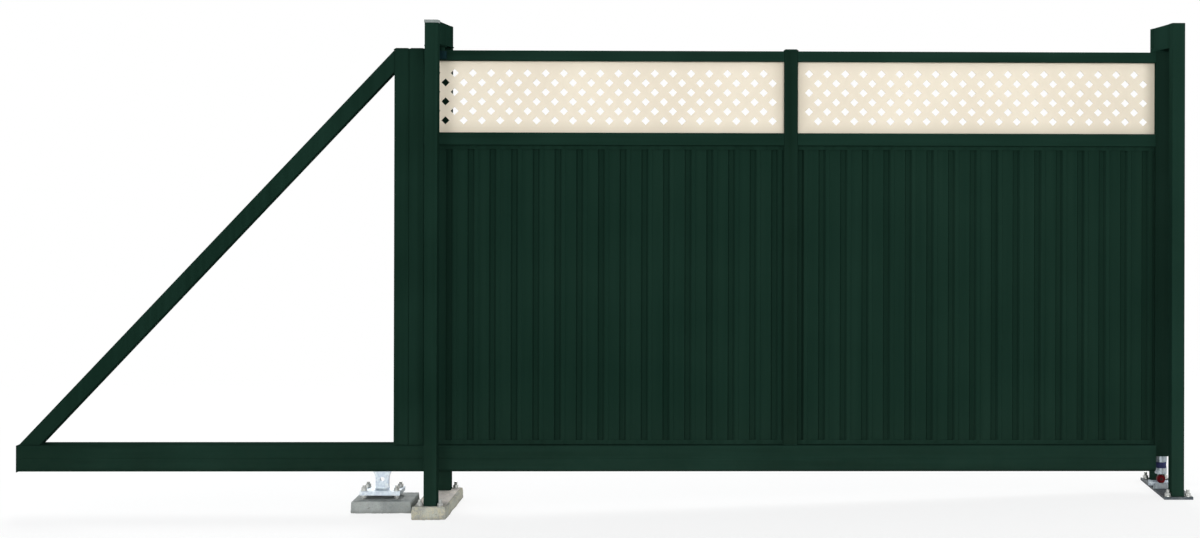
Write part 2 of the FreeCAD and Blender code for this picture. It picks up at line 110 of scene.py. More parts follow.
# Welds
WELD_LEG = 6 * MM
WELD_RIPPLE = 3 * MM
WELD_END = 4 * MM  # corner of a tube to the end of its weld
BRIDGE_WELD_END = 5 * MM
BRACE_WIDTH = 72 * MM
BRACKET_NECK = 31 * MM  # half the width of the carriage bracket's foot

# Sleeve above the end roller, and lip under the receiving portal's bridge
SLEEVE_RADIUS = 26.4 * MM
SLEEVE_HEIGHT = 28 * MM
SLEEVE_DROP = 58 * MM  # top of the roller's bracket to the foot of the sleeve
SLEEVE_GROOVES = ((0.3, 0.36), (0.64, 0.7))  # shares of its height
GROOVE_DEPTH = 0.8 * MM
LIP_DEPTH = 7 * MM
LIP_INSET = 0.5 * MM
LIP_ROUNDING = 2 * MM

# Ageing, and painted light and shade
PAINTED_LIGHT_RAMP = (-2.0, 3.5)  # X where the painted light along the gate is darkest and where it is lightest
ROAD_DUST = (0.16, 0.55)  # Z of the most and the least dust
DAMP_HEIGHT = 20 * MM  # of damp at the foot of concrete
EDGE_SHADE_WIDTH = 60 * MM  # of the painted shade along the edges of the lattice boards

# Cast concrete
PAD_VOXEL = 4 * MM
PAD_DRAFT = 0.03
WAVE_SIZE = 90 * MM
LUMP_SIZE = 24 * MM
GRIT_SIZE = 8 * MM
GRIT_DEPTH = 1.2 * MM
CARRIAGE_LUMPS = 1.6 * MM
GUIDE_LUMPS = 2.2 * MM
PAD_SKIN = 2 * MM  # room for lumps inside the size of a pad
MORTAR_EDGE = 2.5 * MM  # edge of the guide portal's pad to its mortar bed
MORTAR_DROP = 3 * MM  # top of the base plate to the mortar beside it
MORTAR_LAP = 14 * MM  # mortar over the front edge of the base plate
MORTAR_COVER = 3 * MM


def linear(code):
    """Return a linear colour from an sRGB hex code."""
    channels = [int(code[place:place + 2], 16) / 255 for place in (1, 3, 5)]
    return [c / 12.92 if c <= 0.04045 else ((c + 0.055) / 1.055) ** 2.4 for c in channels] + [1.0]


def per_mm(size):
    """Return the texture scale that gives a pattern a size in millimetres."""
    return 1000 / size


def add(tree, kind, inputs=None, **settings):
    """Add a node with its settings, and set or link its input sockets."""
    node = tree.nodes.new(kind)
    for name, value in settings.items():
        setattr(node, name, value)
    for name, value in (inputs or {}).items():
        if isinstance(value, bpy.types.NodeSocket):
            tree.links.new(value, node.inputs[name])
        else:
            node.inputs[name].default_value = value
    return node


def start_finish(name):
    """Return a new material, its emptied node tree and the object coordinates in it."""
    material = bpy.data.materials.new(name)
    material.use_nodes = True
    tree = material.node_tree
    tree.nodes.clear()
    return material, tree, add(tree, "ShaderNodeTexCoord").outputs["Object"]


def painted_green(name, light, dark, streak, peel, gloss):
    """Return a green paint finish with painted light that makes it lighter towards +X, with streaks and with
    road dust low down.
    """
    material, tree, place = start_finish(name)
    drift = add(tree, "ShaderNodeTexNoise", {"Vector": place, "Scale": per_mm(420), "Detail": 3.0})
    stretch = add(tree, "ShaderNodeMapping", {"Vector": place, "Scale": [per_mm(size) for size in streak]})
    lines = add(tree, "ShaderNodeTexNoise", {"Vector": stretch.outputs[0], "Scale": 1.0, "Detail": 3.0})
    tone = add(tree, "ShaderNodeMath", {0: drift.outputs[0], 1: lines.outputs[0]}, operation="ADD")
    spot = add(tree, "ShaderNodeSeparateXYZ", {"Vector": place})
    # Painted light: darker towards -X and lighter towards +X along the gate, as if more light fell on the +X
    # end
    ramp = add(tree, "ShaderNodeMapRange", {
        "Value": spot.outputs["X"], "From Min": PAINTED_LIGHT_RAMP[0], "From Max": PAINTED_LIGHT_RAMP[1],
        "To Min": -0.46, "To Max": 0.08})
    tone_with_painted_light = add(tree, "ShaderNodeMath", {0: tone.outputs[0], 1: ramp.outputs[0]}, operation="ADD")
    share = add(tree, "ShaderNodeMapRange", {"Value": tone_with_painted_light.outputs[0], "From Min": 0.5, "From Max": 1.5})
    paint = add(tree, "ShaderNodeMix", {
        0: share.outputs[0], 6: linear(dark), 7: linear(light)}, data_type="RGBA")
    low = add(tree, "ShaderNodeMapRange", {
        "Value": spot.outputs["Z"], "From Min": ROAD_DUST[0], "From Max": ROAD_DUST[1],
        "To Min": 0.08, "To Max": 0.0})
    grit = add(tree, "ShaderNodeTexNoise", {"Vector": place, "Scale": per_mm(35), "Detail": 5.0})
    dusty = add(tree, "ShaderNodeMath", {0: low.outputs[0], 1: grit.outputs[0]}, operation="MULTIPLY")
    colour = add(tree, "ShaderNodeMix", {
        0: dusty.outputs[0], 6: paint.outputs[2], 7: linear("#4A564A")}, data_type="RGBA")
    satin = add(tree, "ShaderNodeMapRange", {
        "Value": grit.outputs[0], "From Min": 0.3, "From Max": 0.7, "To Min": gloss, "To Max": gloss + 0.12})
    skin = add(tree, "ShaderNodeTexNoise", {"Vector": place, "Scale": per_mm(peel), "Detail": 2.0})
    bump = add(tree, "ShaderNodeBump", {"Height": skin.outputs[0], "Strength": 0.25, "Distance": 0.3 * MM})
    surface = add(tree, "ShaderNodeBsdfPrincipled", {
        "Base Color": colour.outputs[2], "Roughness": satin.outputs[0], "Specular IOR Level": 0.0,
        "Normal": bump.outputs[0]})
    add(tree, "ShaderNodeOutputMaterial", {"Surface": surface.outputs[0]})
    return material


def cream_lattice_board():
    """Return satin cream PVC board, pressed smooth: faintly clouded, with painted shade darkening it along
    its edges and its foot.
    """
    left_low, left_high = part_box("lattice_panel_left")
    right_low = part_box("lattice_panel_right")[0]
    material, tree, place = start_finish("cream_pvc_board_pressed")
    cloud = add(tree, "ShaderNodeTexNoise", {"Vector": place, "Scale": per_mm(600), "Detail": 2.0})
    share = add(tree, "ShaderNodeMapRange", {"Value": cloud.outputs[0], "From Min": 0.35, "From Max": 0.65})
    board = add(tree, "ShaderNodeMix", {
        0: share.outputs[0], 6: linear("#D7CCB9"), 7: linear("#DFD5C2")}, data_type="RGBA")
    speck = add(tree, "ShaderNodeTexNoise", {"Vector": place, "Scale": per_mm(9), "Detail": 4.0})
    soil = add(tree, "ShaderNodeMapRange", {
        "Value": speck.outputs[0], "From Min": 0.62, "From Max": 0.8, "To Min": 0.0, "To Max": 0.12})
    dusty = add(tree, "ShaderNodeMix", {
        0: soil.outputs[0], 6: board.outputs[2], 7: linear("#C9BCA4")}, data_type="RGBA")
    spot = add(tree, "ShaderNodeSeparateXYZ", {"Vector": place})
    half = (left_high.x - left_low.x) / 2
    mullion = (left_high.x + right_low.x) / 2
    from_mullion = add(tree, "ShaderNodeMath", {0: spot.outputs["X"], 1: mullion}, operation="SUBTRACT")
    along = add(tree, "ShaderNodeMath", {0: from_mullion.outputs[0]}, operation="ABSOLUTE")
    from_middle = add(tree, "ShaderNodeMath", {
        0: along.outputs[0], 1: right_low.x + half - mullion}, operation="SUBTRACT")
    aside = add(tree, "ShaderNodeMath", {0: from_middle.outputs[0]}, operation="ABSOLUTE")
    # Painted shade: darker near the boards' ends, next to the mullion and at their foot, where the frame and
    # the posts shade them
    side_shade = add(tree, "ShaderNodeMapRange", {
        "Value": aside.outputs[0], "From Min": half - EDGE_SHADE_WIDTH, "From Max": half,
        "To Min": 0.0, "To Max": 0.3})
    foot_shade = add(tree, "ShaderNodeMapRange", {
        "Value": spot.outputs["Z"], "From Min": left_low.z, "From Max": left_low.z + EDGE_SHADE_WIDTH,
        "To Min": 0.32, "To Max": 0.0})
    edge_shade = add(tree, "ShaderNodeMath", {
        0: side_shade.outputs[0], 1: foot_shade.outputs[0]}, operation="MAXIMUM")
    colour = add(tree, "ShaderNodeMix", {
        0: edge_shade.outputs[0], 6: dusty.outputs[2], 7: linear("#A99E88")}, data_type="RGBA")
    grain = add(tree, "ShaderNodeTexNoise", {"Vector": place, "Scale": per_mm(4), "Detail": 3.0})
    bump = add(tree, "ShaderNodeBump", {"Height": grain.outputs[0], "Strength": 0.15, "Distance": 0.2 * MM})
    satin = add(tree, "ShaderNodeMapRange", {"Value": speck.outputs[0], "To Min": 0.42, "To Max": 0.58})
    surface = add(tree, "ShaderNodeBsdfPrincipled", {
        "Base Color": colour.outputs[2], "Roughness": satin.outputs[0], "Specular IOR Level": 0.3,
        "Normal": bump.outputs[0]})
    add(tree, "ShaderNodeOutputMaterial", {"Surface": surface.outputs[0]})
    return material


def zinc_finish(name, light, dark, spangle, rough, white_rust):
    """Return a zinc surface whose crystals each catch the light a little differently."""
    material, tree, place = start_finish(name)
    wander = add(tree, "ShaderNodeTexNoise", {"Vector": place, "Scale": per_mm(spangle * 1.5), "Detail": 2.0})
    bent = add(tree, "ShaderNodeMix", {0: 0.004, 6: place, 7: wander.outputs[1]}, data_type="RGBA")
    crystal = add(tree, "ShaderNodeTexVoronoi", {"Vector": bent.outputs[2], "Scale": per_mm(spangle)})
    parts = add(tree, "ShaderNodeSeparateXYZ", {"Vector": crystal.outputs["Color"]})
    metal = add(tree, "ShaderNodeMix", {
        0: parts.outputs[0], 6: linear(dark), 7: linear(light)}, data_type="RGBA")
    bloom = add(tree, "ShaderNodeTexNoise", {"Vector": place, "Scale": per_mm(45), "Detail": 5.0})
    chalk = add(tree, "ShaderNodeMapRange", {
        "Value": bloom.outputs[0], "From Min": 0.52, "From Max": 0.72, "To Min": 0.0, "To Max": white_rust})
    colour = add(tree, "ShaderNodeMix", {
        0: chalk.outputs[0], 6: metal.outputs[2], 7: linear("#DCDDD8")}, data_type="RGBA")
    metallic = add(tree, "ShaderNodeMapRange", {"Value": chalk.outputs[0], "To Min": 0.9, "To Max": 0.2})
    matt = add(tree, "ShaderNodeMapRange", {
        "Value": parts.outputs[1], "To Min": rough, "To Max": rough + 0.2})
    bump = add(tree, "ShaderNodeBump", {"Height": bloom.outputs[0], "Strength": 0.2, "Distance": 0.5 * MM})
    surface = add(tree, "ShaderNodeBsdfPrincipled", {
        "Base Color": colour.outputs[2], "Metallic": metallic.outputs[0], "Roughness": matt.outputs[0],
        "Normal": bump.outputs[0]})
    add(tree, "ShaderNodeOutputMaterial", {"Surface": surface.outputs[0]})
    return material


def turned_finish(name, light, dark, ring, rough, metallic, shine):
    """Return a turned or moulded surface with fine tool marks and handling scuffs."""
    material, tree, place = start_finish(name)
    scuff = add(tree, "ShaderNodeTexNoise", {"Vector": place, "Scale": per_mm(14), "Detail": 6.0})
    share = add(tree, "ShaderNodeMapRange", {"Value": scuff.outputs[0], "From Min": 0.35, "From Max": 0.65})
    colour = add(tree, "ShaderNodeMix", {
        0: share.outputs[0], 6: linear(dark), 7: linear(light)}, data_type="RGBA")
    marks = add(tree, "ShaderNodeTexNoise", {"Vector": place, "Scale": per_mm(ring), "Detail": 2.0})
    bump = add(tree, "ShaderNodeBump", {"Height": marks.outputs[0], "Strength": 0.2, "Distance": 0.2 * MM})
    satin = add(tree, "ShaderNodeMapRange", {
        "Value": scuff.outputs[0], "To Min": rough, "To Max": rough + 0.2})
    surface = add(tree, "ShaderNodeBsdfPrincipled", {
        "Base Color": colour.outputs[2], "Metallic": metallic, "Roughness": satin.outputs[0],
        "Specular IOR Level": shine, "Normal": bump.outputs[0]})
    add(tree, "ShaderNodeOutputMaterial", {"Surface": surface.outputs[0]})
    return material


def cast_concrete(name, light, dark, stone, stones):
    """Return cast concrete: cement skin over sand and stones, with air holes whose darkness is painted shade,
    and damp low down.
    """
    material, tree, place = start_finish(name)
    cloud = add(tree, "ShaderNodeTexNoise", {"Vector": place, "Scale": per_mm(70), "Detail": 6.0})
    share = add(tree, "ShaderNodeMapRange", {"Value": cloud.outputs[0], "From Min": 0.3, "From Max": 0.7})
    cement = add(tree, "ShaderNodeMix", {
        0: share.outputs[0], 6: linear(dark), 7: linear(light)}, data_type="RGBA")
    ripple = add(tree, "ShaderNodeTexNoise", {"Vector": place, "Scale": per_mm(7), "Detail": 3.0})
    ragged = add(tree, "ShaderNodeVectorMath", {
        0: ripple.outputs[1], 1: (9 * MM, 9 * MM, 9 * MM), 2: place}, operation="MULTIPLY_ADD")
    rubble = add(tree, "ShaderNodeTexVoronoi", {
        "Vector": ragged.outputs[0], "Scale": per_mm(9), "Randomness": 1.0})
    kind = add(tree, "ShaderNodeSeparateXYZ", {"Vector": rubble.outputs["Color"]})
    bare = add(tree, "ShaderNodeMapRange", {
        "Value": kind.outputs[0], "From Min": 0.45, "From Max": 0.9, "To Min": 0.0, "To Max": stones})
    stony = add(tree, "ShaderNodeMix", {
        0: bare.outputs[0], 6: cement.outputs[2], 7: linear(stone)}, data_type="RGBA")
    sand = add(tree, "ShaderNodeTexNoise", {
        "Vector": place, "Scale": per_mm(5), "Detail": 4.0, "Roughness": 0.7})
    grain = add(tree, "ShaderNodeMapRange", {
        "Value": sand.outputs[0], "From Min": 0.45, "From Max": 0.7, "To Min": 0.0, "To Max": 0.45})
    sanded = add(tree, "ShaderNodeMix", {
        0: grain.outputs[0], 6: stony.outputs[2], 7: linear("#6F6E66")}, data_type="RGBA")
    # Air holes: dented by the bump, and darkened in colour as painted shade
    hole = add(tree, "ShaderNodeTexNoise", {
        "Vector": place, "Scale": per_mm(11), "Detail": 3.0, "Roughness": 0.6})
    pit = add(tree, "ShaderNodeMapRange", {
        "Value": hole.outputs[0], "From Min": 0.66, "From Max": 0.74, "To Min": 0.0, "To Max": 0.8})
    pits_with_painted_shade = add(tree, "ShaderNodeMix", {
        0: pit.outputs[0], 6: sanded.outputs[2], 7: linear("#5E5D56")}, data_type="RGBA")
    height = add(tree, "ShaderNodeSeparateXYZ", {"Vector": place})
    damp = add(tree, "ShaderNodeMapRange", {
        "Value": height.outputs["Z"], "From Min": 0.0, "From Max": DAMP_HEIGHT, "To Min": 0.4, "To Max": 0.0})
    colour = add(tree, "ShaderNodeMix", {
        0: damp.outputs[0], 6: pits_with_painted_shade.outputs[2], 7: linear("#5D5C55")}, data_type="RGBA")
    relief = add(tree, "ShaderNodeMath", {0: sand.outputs[0], 1: pit.outputs[0]}, operation="SUBTRACT")
    bump = add(tree, "ShaderNodeBump", {"Height": relief.outputs[0], "Strength": 0.7, "Distance": 1.5 * MM})
    surface = add(tree, "ShaderNodeBsdfPrincipled", {
        "Base Color": colour.outputs[2], "Roughness": 0.92, "Specular IOR Level": 0.2,
        "Normal": bump.outputs[0]})
    add(tree, "ShaderNodeOutputMaterial", {"Surface": surface.outputs[0]})
    return material


# Sizes of streaks in paint along X, Y and Z, in millimetres
RAIN_STREAK = (26, 26, 1400)
SHEET_STREAK = (26, 26, 1100)
CAP_STREAK = (26, 26, 300)
DRAWN_STREAK = (900, 30, 30)

FINISHES = {
    "green_powder_coat": painted_green(
        "powder_coated_steel_sprayed", "#1C342B", "#12261E", RAIN_STREAK, 5, 0.6),
    "green_ribbed_sheet": painted_green(
        "coil_coated_sheet_rolled", "#1A3027", "#132820", SHEET_STREAK, 9, 0.55),
    "green_plastic_cap": painted_green(
        "green_polyethylene_moulded", "#172D25", "#13271F", CAP_STREAK, 3, 0.6),
    "cream_pvc": cream_lattice_board(),
    "galvanised_steel": zinc_finish("hot_dip_galvanised_steel", "#B2BBBF", "#98A2AE", 9, 0.36, 0.4),
    "zinc_plated_steel": zinc_finish("zinc_plated_steel_tumbled", "#CBCDC8", "#A9ABA9", 4, 0.28, 0.25),
    "wheel_steel": turned_finish("carriage_wheel_steel_turned", "#B4B6B7", "#83868A", 1.5, 0.3, 1.0, 0.5),
    "dark_nylon": turned_finish("guide_nylon_turned", "#0F2629", "#0B1C1F", 1.5, 0.6, 0.0, 0.02),
    "blackened_steel": turned_finish("pin_steel_blackened", "#3A1B1B", "#261112", 1.5, 0.5, 0.0, 0.2),
    "red_roller": turned_finish("roller_polyurethane_cast", "#66090F", "#48060A", 2.5, 0.5, 0.0, 0.1),
    "grey_plastic_cap": turned_finish("grey_polyethylene_moulded", "#868D8B", "#757C7A", 3, 0.5, 0.0, 0.2),
    "concrete": cast_concrete("cast_concrete_rubble", "#B3B4A8", "#8F908A", "#C5BDA2", 0.7),
}
# Concrete of the carriage's pad: darker and bluer than the guide portal's pad as painted shade, with fewer
# bare stones
SHADED_CARRIAGE_CONCRETE = cast_concrete("cast_concrete_grey_painted_shade", "#A8ADAB", "#878D8C", "#A0A19C", 0.35)
# Right base plate: weathered zinc, darkened further by painted shade
WEATHERED_SHADED_PLATE_ZINC = zinc_finish("hot_dip_galvanised_plate_weathered_painted_shade", "#4F5558", "#3E444A", 10, 0.5, 0.08)
SMEARED_ZINC = cast_concrete("zinc_plate_smeared_with_mortar", "#E0D9D0", "#C2BDB8", "#E6DCCB", 0.4)
SOCKET_ZINC = zinc_finish("hot_dip_galvanised_socket", "#A4AEB3", "#8C979E", 8, 0.36, 0.3)
# Darker green on the mullion and the right stile: painted shade
SHADED_GREEN = painted_green("powder_coated_steel_painted_shade", "#192E26", "#10221A", RAIN_STREAK, 5, 0.6)
DRAWN_GREEN = painted_green("powder_coated_steel_drawn", "#1C352C", "#12261E", DRAWN_STREAK, 5, 0.6)
SLEEVE_BLUE = turned_finish("blue_polyamide_moulded", "#343A63", "#262B4C", 2, 0.5, 0.0, 0.15)

# Nodes that differ from the rest of their slot
NODE_FINISHES = {
    "right_base_plate": WEATHERED_SHADED_PLATE_ZINC,
    "left_base_plate": SMEARED_ZINC,
    "end_roller_bracket": SOCKET_ZINC,
    "mullion": SHADED_GREEN,
    "right_stile": SHADED_GREEN,
    "bottom_rail": DRAWN_GREEN,
    "mid_rail_left": DRAWN_GREEN,
    "mid_rail_right": DRAWN_GREEN,
    "top_rail_left": DRAWN_GREEN,
    "top_rail_right": DRAWN_GREEN,
}
for subpart in frame["record"]["subparts"]:
    shell = frame["nodes"][subpart["node"]].data
    shell.materials.clear()
    shell.materials.append(NODE_FINISHES.get(subpart["node"], FINISHES[subpart["material_slot"]]))


def clear_selection():
    """Deselect every object."""
    bpy.ops.object.select_all(action="DESELECT")


def make_active(piece):
    """Select one piece alone and make it active."""
    clear_selection()
    piece.select_set(True)
    bpy.context.view_layer.objects.active = piece


def settle(piece, name, body, slot, finish=None):
    """Bake a piece's place into its mesh, name it, smooth it, and let it ride on a body."""
    make_active(piece)
    bpy.ops.object.transform_apply(location=True, rotation=True, scale=True)
    bpy.ops.object.shade_smooth_by_angle(angle=SMOOTH_ANGLE)
    piece.name = name
    piece.data.name = name
    piece.data.materials.clear()
    piece.data.materials.append(finish or FINISHES[slot])
    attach(piece, body)
    return piece


def copy_of(piece, offset):
    """Return a copy of a piece, with its own mesh, moved by an offset."""
    twin = piece.copy()
    twin.data = piece.data.copy()
    bpy.context.collection.objects.link(twin)
    twin.location = Vector(twin.location) + Vector(offset)
    return twin


def join(pieces):
    """Join pieces into the first of them."""
    clear_selection()
    for piece in pieces:
        piece.select_set(True)
    bpy.context.view_layer.objects.active = pieces[0]
    bpy.ops.object.join()
    return pieces[0]


def apply_modifier(piece, kind, **settings):
    """Add a modifier with its settings and apply it."""
    make_active(piece)
    modifier = piece.modifiers.new(kind.lower(), kind)
    for name, value in settings.items():
        setattr(modifier, name, value)
    bpy.ops.object.modifier_apply(modifier=modifier.name)


def hex_head(flats, height, foot):
    """Return a hexagonal head or nut, its corners chamfered top and bottom, standing at a height."""
    clear_selection()
    corner = flats / math.sqrt(3)
    middle = (0, 0, foot + height / 2)
    bpy.ops.mesh.primitive_cylinder_add(vertices=48, radius=corner * 0.985, depth=height, location=middle)
    round_bar = bpy.context.object
    apply_modifier(round_bar, "BEVEL", width=height * 0.12, segments=1, angle_limit=BEVEL_ANGLE)
    clear_selection()
    bpy.ops.mesh.primitive_cylinder_add(vertices=6, radius=corner, depth=height, location=middle)
    head = bpy.context.object
    apply_modifier(head, "BOOLEAN", object=round_bar, operation="INTERSECT", solver="EXACT")
    bpy.data.objects.remove(round_bar)
    make_active(head)
    bpy.ops.object.transform_apply(location=True, rotation=True, scale=True)
    return head


def washer_ring(foot):
    """Return a flat washer with broken edges, standing at a height."""
    clear_selection()
    bpy.ops.mesh.primitive_cylinder_add(
        vertices=40, radius=WASHER_DIAMETER / 2, depth=WASHER_HEIGHT,
        location=(0, 0, foot + WASHER_HEIGHT / 2))
    washer = bpy.context.object
    apply_modifier(washer, "BEVEL", width=WASHER_CHAMFER, segments=2, angle_limit=BEVEL_ANGLE)
    return washer


def thread_helix(radius, length, foot):
    """Return a helical thread ridge round the Z axis, from a height upwards."""
    clear_selection()
    bpy.ops.mesh.primitive_circle_add(
        vertices=3, radius=0.62 * THREAD_PITCH, fill_type="NGON", location=(radius, 0, foot),
        rotation=(math.pi / 2, 0, 0))
    ridge = bpy.context.object
    bpy.ops.object.transform_apply(location=True, rotation=True, scale=True)
    bpy.ops.object.mode_set(mode="EDIT")
    bpy.ops.mesh.select_all(action="SELECT")
    bpy.ops.mesh.delete(type="ONLY_FACE")
    bpy.ops.object.mode_set(mode="OBJECT")
    turns = max(1, round(length / THREAD_PITCH) - 1)
    apply_modifier(
        ridge, "SCREW", axis="Z", angle=2 * math.pi, screw_offset=THREAD_PITCH, iterations=turns, steps=24,
        render_steps=24, use_merge_vertices=False)
    bpy.ops.object.mode_set(mode="EDIT")
    bpy.ops.mesh.select_all(action="SELECT")
    bpy.ops.mesh.fill_holes(sides=3)
    bpy.ops.mesh.normals_make_consistent(inside=False)
    bpy.ops.object.mode_set(mode="OBJECT")
    return ridge


def threaded_rod(foot, top):
    """Return a rod round the Z axis between two heights: a chamfered core with a helical thread."""
    core = STUD_DIAMETER / 2 - THREAD_DEPTH
    clear_selection()
    bpy.ops.mesh.primitive_cylinder_add(
        vertices=24, radius=core, depth=top - foot, location=(0, 0, (foot + top) / 2))
    rod = bpy.context.object
    apply_modifier(rod, "BEVEL", width=ROD_CHAMFER, segments=2, angle_limit=BEVEL_ANGLE)
    return join([rod, thread_helix(core, top - foot, foot)])


def anchor_bolt():
    """Return a washer, a nut and the threaded end of an anchor, standing on the origin."""
    nut = hex_head(NUT_FLATS, NUT_HEIGHT, WASHER_HEIGHT)
    return join([washer_ring(0), nut, threaded_rod(0, ANCHOR_STANDS)])


def set_anchors():
    """Put four anchors through the holes of each base plate."""
    pattern = anchor_bolt()
    for side in ("left", "right"):
        low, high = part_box(side + "_base_plate")
        corners = [(x, y) for x in (low.x + ANCHOR_EDGE, high.x - ANCHOR_EDGE)
                   for y in (low.y + ANCHOR_EDGE, high.y - ANCHOR_EDGE)]
        for number, (x, y) in enumerate(corners, 1):
            bolt = copy_of(pattern, (x, y, high.z))
            settle(bolt, f"{side}_anchor_{number}", "supports", "zinc_plated_steel")
    bpy.data.objects.remove(pattern)


def set_carriage_studs():
    """Hold the carriage's plate on four threaded studs, with a nut under it and a washer and nut on it."""
    plate_low, plate_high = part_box("carriage_plate")
    stud_low, stud_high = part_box("carriage_studs")
    nut_below = hex_head(NUT_FLATS, NUT_HEIGHT, plate_low.z - NUT_HEIGHT)
    washer = washer_ring(plate_high.z)
    nut_above = hex_head(NUT_FLATS, NUT_HEIGHT, plate_high.z + WASHER_HEIGHT)
    pattern = join([nut_below, washer, nut_above, threaded_rod(stud_low.z, stud_high.z)])
    inset = NUT_FLATS / 2
    reach = NUT_FLATS / math.sqrt(3)
    places = [(x, y) for x in (stud_low.x + inset, stud_high.x - inset)
              for y in (stud_low.y + reach, stud_high.y - reach)]
    studs = join([copy_of(pattern, (x, y, 0)) for x, y in places])
    settle(studs, "carriage_stud_set", "supports", "zinc_plated_steel")
    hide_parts("carriage_studs")
    bpy.data.objects.remove(pattern)


def rivet_head():
    """Return the domed head of a blind rivet with the pit of its mandrel, facing -Y."""
    clear_selection()
    bpy.ops.mesh.primitive_cylinder_add(
        vertices=16, radius=RIVET_DIAMETER / 2, depth=RIVET_HEIGHT, location=(0, -RIVET_HEIGHT / 2, 0),
        rotation=(math.pi / 2, 0, 0))
    head = bpy.context.object
    bpy.ops.object.transform_apply(location=True, rotation=True, scale=True)
    bpy.ops.object.mode_set(mode="EDIT")
    bpy.ops.mesh.select_all(action="DESELECT")
    bpy.ops.object.mode_set(mode="OBJECT")
    for face in head.data.polygons:
        face.select = face.normal.y < -0.9
    bpy.ops.object.mode_set(mode="EDIT")
    bpy.ops.mesh.bevel(offset=RIVET_ROUNDING, segments=3, affect="EDGES")
    bpy.ops.mesh.select_all(action="DESELECT")
    bpy.ops.object.mode_set(mode="OBJECT")
    front = min(face.center.y for face in head.data.polygons)
    for face in head.data.polygons:
        face.select = face.center.y < front + 0.01 * MM
    bpy.ops.object.mode_set(mode="EDIT")
    bpy.ops.mesh.inset(thickness=RIVET_RIM)
    bpy.ops.mesh.extrude_region_move(TRANSFORM_OT_translate={"value": (0, MANDREL_PIT, 0)})
    bpy.ops.object.mode_set(mode="OBJECT")
    return head


def set_rivets():
    """Rivet the lips of the channels to every second crown of the ribbed sheets."""
    pattern = rivet_head()
    for name in ("lower_channel_left", "lower_channel_right", "upper_channel_left", "upper_channel_right"):
        low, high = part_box(name)
        heads = []
        x = low.x + FIRST_CROWN
        while x < high.x - RIVET_DIAMETER:
            heads.append(copy_of(pattern, (x, low.y, (low.z + high.z) / 2)))
            x += RIVET_EVERY * RIB_PITCH
        settle(join(heads), name + "_rivets", "leaf", "green_powder_coat")
    bpy.data.objects.remove(pattern)


def weld_run(start, end):
    """Return a fillet weld between two points: overlapping ripples, each like a flattened drop."""
    start = Vector(start)
    way = Vector(end) - start
    clear_selection()
    bpy.ops.mesh.primitive_uv_sphere_add(segments=8, ring_count=5, radius=WELD_LEG / 2)
    run = bpy.context.object
    run.scale = (1.2, 1.0, 1.0)
    bpy.ops.object.transform_apply(location=True, rotation=True, scale=True)
    count = max(2, round(way.length / WELD_RIPPLE))
    apply_modifier(
        run, "ARRAY", count=count, use_relative_offset=False, use_constant_offset=True,
        constant_offset_displace=(way.length / count, 0, 0))
    run.rotation_euler = way.to_track_quat("X", "Z").to_euler()
    run.location = start + way / count / 2
    make_active(run)
    bpy.ops.object.transform_apply(location=True, rotation=True, scale=True)
    return run


def weld_round(x0, x1, y0, y1, z):
    """Return welds along the four sides of an upright tube's foot."""
    return [
        weld_run((x0 + WELD_END, y0, z), (x1 - WELD_END, y0, z)),
        weld_run((x1, y0 + WELD_END, z), (x1, y1 - WELD_END, z)),
        weld_run((x1 - WELD_END, y1, z), (x0 + WELD_END, y1, z)),
        weld_run((x0, y1 - WELD_END, z), (x0, y0 + WELD_END, z)),
    ]


def set_welds():
    """Weld the posts, bridges, stiles and brace where they meet what carries them."""
    for side in ("left", "right"):
        for place in ("front", "rear"):
            low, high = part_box(f"{side}_{place}_post")
            runs = weld_round(low.x, high.x, low.y, high.y, low.z)
            settle(join(runs), f"{side}_{place}_post_weld", "supports", "green_powder_coat")
        low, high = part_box(side + "_bridge")
        runs = []
        for y in (low.y, high.y):
            for x in (low.x, high.x):
                runs.append(weld_run((x, y, low.z + BRIDGE_WELD_END), (x, y, high.z - BRIDGE_WELD_END)))
            runs.append(weld_run((low.x + BRIDGE_WELD_END, y, low.z), (high.x - BRIDGE_WELD_END, y, low.z)))
        settle(join(runs), side + "_bridge_weld", "supports", "green_powder_coat")
    rail_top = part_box("bottom_rail")[1].z
    for name in ("tail_post", "left_stile", "mullion"):
        low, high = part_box(name)
        runs = [weld_run((low.x + WELD_END, y, rail_top), (high.x - WELD_END, y, rail_top))
                for y in (low.y, high.y)]
        settle(join(runs), name + "_weld", "leaf", "green_powder_coat")
    low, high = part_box("tail_brace")
    run = high.x - low.x
    rise = high.z - low.z
    length = math.hypot(run, rise)
    foot = BRACE_WIDTH * length / rise
    drop = BRACE_WIDTH * length / run
    runs = []
    for y in (low.y, high.y):
        runs.append(weld_run((low.x + WELD_END, y, low.z), (low.x + foot - WELD_END, y, low.z)))
        runs.append(weld_run((high.x, y, high.z - drop + WELD_END), (high.x, y, high.z - WELD_END)))
    settle(join(runs), "tail_brace_weld", "leaf", "green_powder_coat")
    low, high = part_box("carriage_bracket")
    middle = (low.x + high.x) / 2
    runs = [weld_run((middle - BRACKET_NECK, y, low.z), (middle + BRACKET_NECK, y, low.z))
            for y in (low.y, high.y)]
    settle(join(runs), "carriage_bracket_weld", "supports", "galvanised_steel")


def plain_block(low, high):
    """Return a block between two corners, to be shaped further."""
    clear_selection()
    bpy.ops.mesh.primitive_cube_add(size=1, location=(Vector(low) + Vector(high)) / 2)
    block = bpy.context.object
    block.scale = Vector(high) - Vector(low)
    make_active(block)
    bpy.ops.object.transform_apply(location=True, rotation=True, scale=True)
    return block


